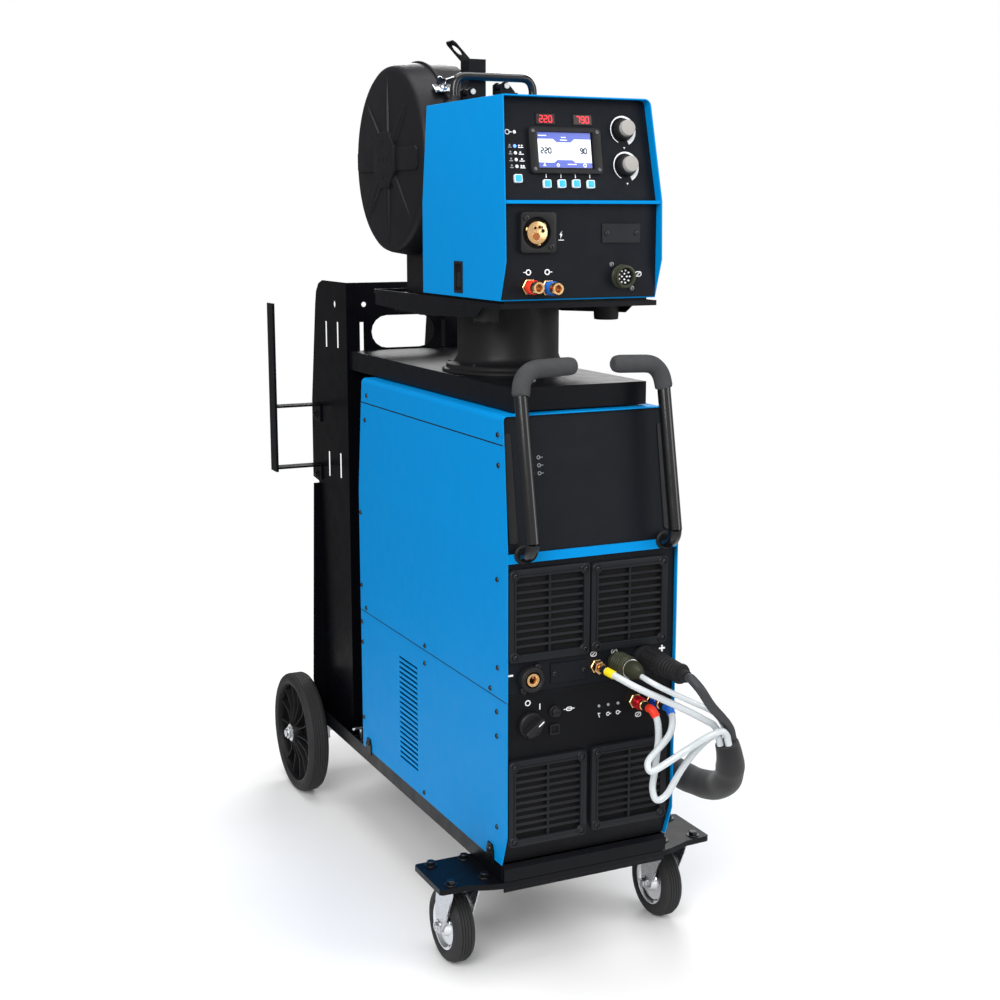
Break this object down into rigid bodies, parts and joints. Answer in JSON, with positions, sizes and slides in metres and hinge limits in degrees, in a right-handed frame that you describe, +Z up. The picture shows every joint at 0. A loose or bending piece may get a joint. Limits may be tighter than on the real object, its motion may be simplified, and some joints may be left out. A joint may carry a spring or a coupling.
{
  "type": "mig welder on cart",
  "caption": "Water-cooled MIG welding set on a wheeled cart: power source over cooler, gas cylinder bay, pivoting wire feeder with side spool drum.",
  "frame": {"origin": "bottom centre of the set, cords left out: on the floor, half-way between the handles and the rear tyres", "axes": "+Z up, -Y the front with the sockets and the control panel, +X to the operator's right when facing the rear"},
  "size_m": [0.5, 1.2426, 1.4855],
  "materials": {
    "blue_paint": "satin powder coat",
    "black_paint": "satin",
    "black_plastic": "fine texture",
    "cart_paint": "satin powder coat",
    "rubber": "matt",
    "zinc": "zinc plated",
    "steel": "ground",
    "brass": "machined",
    "red_plastic": "satin",
    "blue_plastic": "satin",
    "pale_blue_plastic": "satin",
    "taupe_plastic": "satin",
    "clear_hose": "clear",
    "sleeve": "woven",
    "winding": "copper coloured",
    "white_plastic": "satin"
  },
  "bodies": {
    "cart": {"cart_tray": "cart_paint", "caster_plate": "cart_paint", "upright_panel": "cart_paint", "cable_hook": "cart_paint", "lower_shelf": "cart_paint", "pivot_column": "cart_paint", "rear_axle": "zinc", "handle_left": "rubber", "handle_right": "rubber", "plus_plug": "rubber", "power_cable": "rubber", "cooler_case": "blue_paint", "power_source_case": "blue_paint", "top_cover": "blue_paint", "cooler_front": "black_plastic", "power_source_front": "black_plastic", "grille_upper_left": "black_plastic", "grille_upper_right": "black_plastic", "grille_lower_left": "black_plastic", "grille_lower_right": "black_plastic", "minus_socket": "brass", "return_coupling": "red_plastic", "supply_coupling": "blue_plastic", "transformer": "winding", "coolant_tank": "white_plastic", "control_cable": "clear_hose", "gas_hose": "clear_hose", "return_hose": "clear_hose", "supply_hose": "clear_hose", "hose_sleeve": "sleeve"},
    "feeder": {"feeder_platform": "cart_paint", "feeder_shell": "blue_paint", "control_panel": "black_plastic", "display_unit": "black_plastic", "lower_panel": "black_plastic", "torch_connector": "brass", "carry_handle": "black_plastic", "lifting_bracket": "black_paint", "spool_housing": "black_plastic"},
    "rear_wheel_left": {"rear_wheel_left": "rubber"},
    "feeder_door": {"feeder_door": "blue_paint"},
    "mains_switch": {"mains_switch": "black_plastic"},
    "caster_fork_right": {"caster_fork_right": "zinc"},
    "drive_roll": {"drive_roll": "steel"},
    "drum_latch": {"drum_latch": "zinc"},
    "button_four": {"button_four": "pale_blue_plastic"},
    "rear_wheel_right": {"rear_wheel_right": "rubber"},
    "button_one": {"button_one": "pale_blue_plastic"},
    "caster_wheel_left": {"caster_wheel_left": "rubber"},
    "button_two": {"button_two": "pale_blue_plastic"},
    "wire_spool": {"wire_spool": "winding"},
    "button_menu": {"button_menu": "pale_blue_plastic"},
    "caster_fork_left": {"caster_fork_left": "zinc"},
    "drum_cover": {"drum_cover": "black_plastic"},
    "button_three": {"button_three": "pale_blue_plastic"},
    "cooling_fan": {"cooling_fan": "black_plastic"},
    "caster_wheel_right": {"caster_wheel_right": "rubber"},
    "pressure_roll": {"pressure_roll": "steel"},
    "knob_upper": {"knob_upper": "taupe_plastic"},
    "knob_lower": {"knob_lower": "taupe_plastic"}
  },
  "joints": [
    {"name": "rear_wheel_left_spin", "type": "hinge", "parent": "cart", "child": "rear_wheel_left", "pos_m": [-0.1525, 0.43875, 0.125], "axis": [1, 0, 0], "continuous": true},
    {"name": "caster_left_swivel", "type": "hinge", "parent": "cart", "child": "caster_fork_left", "pos_m": [-0.196, -0.42925, 0.1536], "axis": [0, 0, 1], "continuous": true},
    {"name": "caster_left_roll", "type": "hinge", "parent": "caster_fork_left", "child": "caster_wheel_left", "pos_m": [-0.196, -0.40355, 0.0625], "axis": [1, 0, 0], "continuous": true},
    {"name": "rear_wheel_right_spin", "type": "hinge", "parent": "cart", "child": "rear_wheel_right", "pos_m": [0.1525, 0.43875, 0.125], "axis": [1, 0, 0], "continuous": true},
    {"name": "caster_right_swivel", "type": "hinge", "parent": "cart", "child": "caster_fork_right", "pos_m": [0.196, -0.42925, 0.1536], "axis": [0, 0, 1], "continuous": true},
    {"name": "caster_right_roll", "type": "hinge", "parent": "caster_fork_right", "child": "caster_wheel_right", "pos_m": [0.196, -0.40355, 0.0625], "axis": [1, 0, 0], "continuous": true},
    {"name": "mains_switch_turn", "type": "hinge", "parent": "cart", "child": "mains_switch", "pos_m": [-0.109, -0.51365, 0.425], "axis": [0, -1, 0], "range_deg": [0, 90]},
    {"name": "fan_spin", "type": "hinge", "parent": "cart", "child": "cooling_fan", "pos_m": [0, 0.04075, 0.69], "axis": [0, 1, 0], "continuous": true},
    {"name": "feeder_swivel", "type": "hinge", "parent": "cart", "child": "feeder", "pos_m": [0, -0.20925, 1.0665], "axis": [0, 0, 1], "range_deg": [-90, 90]},
    {"name": "door_hinge", "type": "hinge", "parent": "feeder", "child": "feeder_door", "pos_m": [-0.127, -0.31925, 1.383], "axis": [0, 1, 0], "range_deg": [0, 110]},
    {"name": "knob_upper_turn", "type": "hinge", "parent": "feeder", "child": "knob_upper", "pos_m": [0.0826, -0.44245, 1.3352], "axis": [0, -0.9847, 0.1743], "continuous": true},
    {"name": "knob_lower_turn", "type": "hinge", "parent": "feeder", "child": "knob_lower", "pos_m": [0.0837, -0.45205, 1.281], "axis": [0, -0.9847, 0.1743], "continuous": true},
    {"name": "button_menu_press", "type": "slide", "parent": "feeder", "child": "button_menu", "axis": [0, 0.9847, -0.1743], "range_m": [0, 0.0015], "stiffness_N_per_m": 400, "springref_m": -0.001},
    {"name": "button_one_press", "type": "slide", "parent": "feeder", "child": "button_one", "axis": [0, 0.9847, -0.1743], "range_m": [0, 0.0015], "stiffness_N_per_m": 400, "springref_m": -0.001},
    {"name": "button_two_press", "type": "slide", "parent": "feeder", "child": "button_two", "axis": [0, 0.9847, -0.1743], "range_m": [0, 0.0015], "stiffness_N_per_m": 400, "springref_m": -0.001},
    {"name": "button_three_press", "type": "slide", "parent": "feeder", "child": "button_three", "axis": [0, 0.9847, -0.1743], "range_m": [0, 0.0015], "stiffness_N_per_m": 400, "springref_m": -0.001},
    {"name": "button_four_press", "type": "slide", "parent": "feeder", "child": "button_four", "axis": [0, 0.9847, -0.1743], "range_m": [0, 0.0015], "stiffness_N_per_m": 400, "springref_m": -0.001},
    {"name": "cover_slide", "type": "slide", "parent": "feeder", "child": "drum_cover", "axis": [-1, 0, 0], "range_m": [0, 0.065]},
    {"name": "latch_turn", "type": "hinge", "parent": "feeder", "child": "drum_latch", "pos_m": [-0.08, -0.12489, 1.41354], "axis": [0, -0.5736, 0.8192], "range_deg": [0, 180]},
    {"name": "spool_spin", "type": "hinge", "parent": "feeder", "child": "wire_spool", "pos_m": [-0.124, 0.00275, 1.301], "axis": [1, 0, 0], "continuous": true},
    {"name": "drive_roll_spin", "type": "hinge", "parent": "feeder", "child": "drive_roll", "pos_m": [-0.0783, -0.31925, 1.1625], "axis": [1, 0, 0], "continuous": true},
    {"name": "pressure_roll_spin", "type": "hinge", "parent": "feeder", "child": "pressure_roll", "pos_m": [-0.0783, -0.31925, 1.2], "axis": [1, 0, 0], "continuous": true}
  ],
  "couplings": [
    {"joint": "drive_roll_spin", "follows": "spool_spin", "ratio": -7.543},
    {"joint": "pressure_roll_spin", "follows": "spool_spin", "ratio": 7.543}
  ]
}
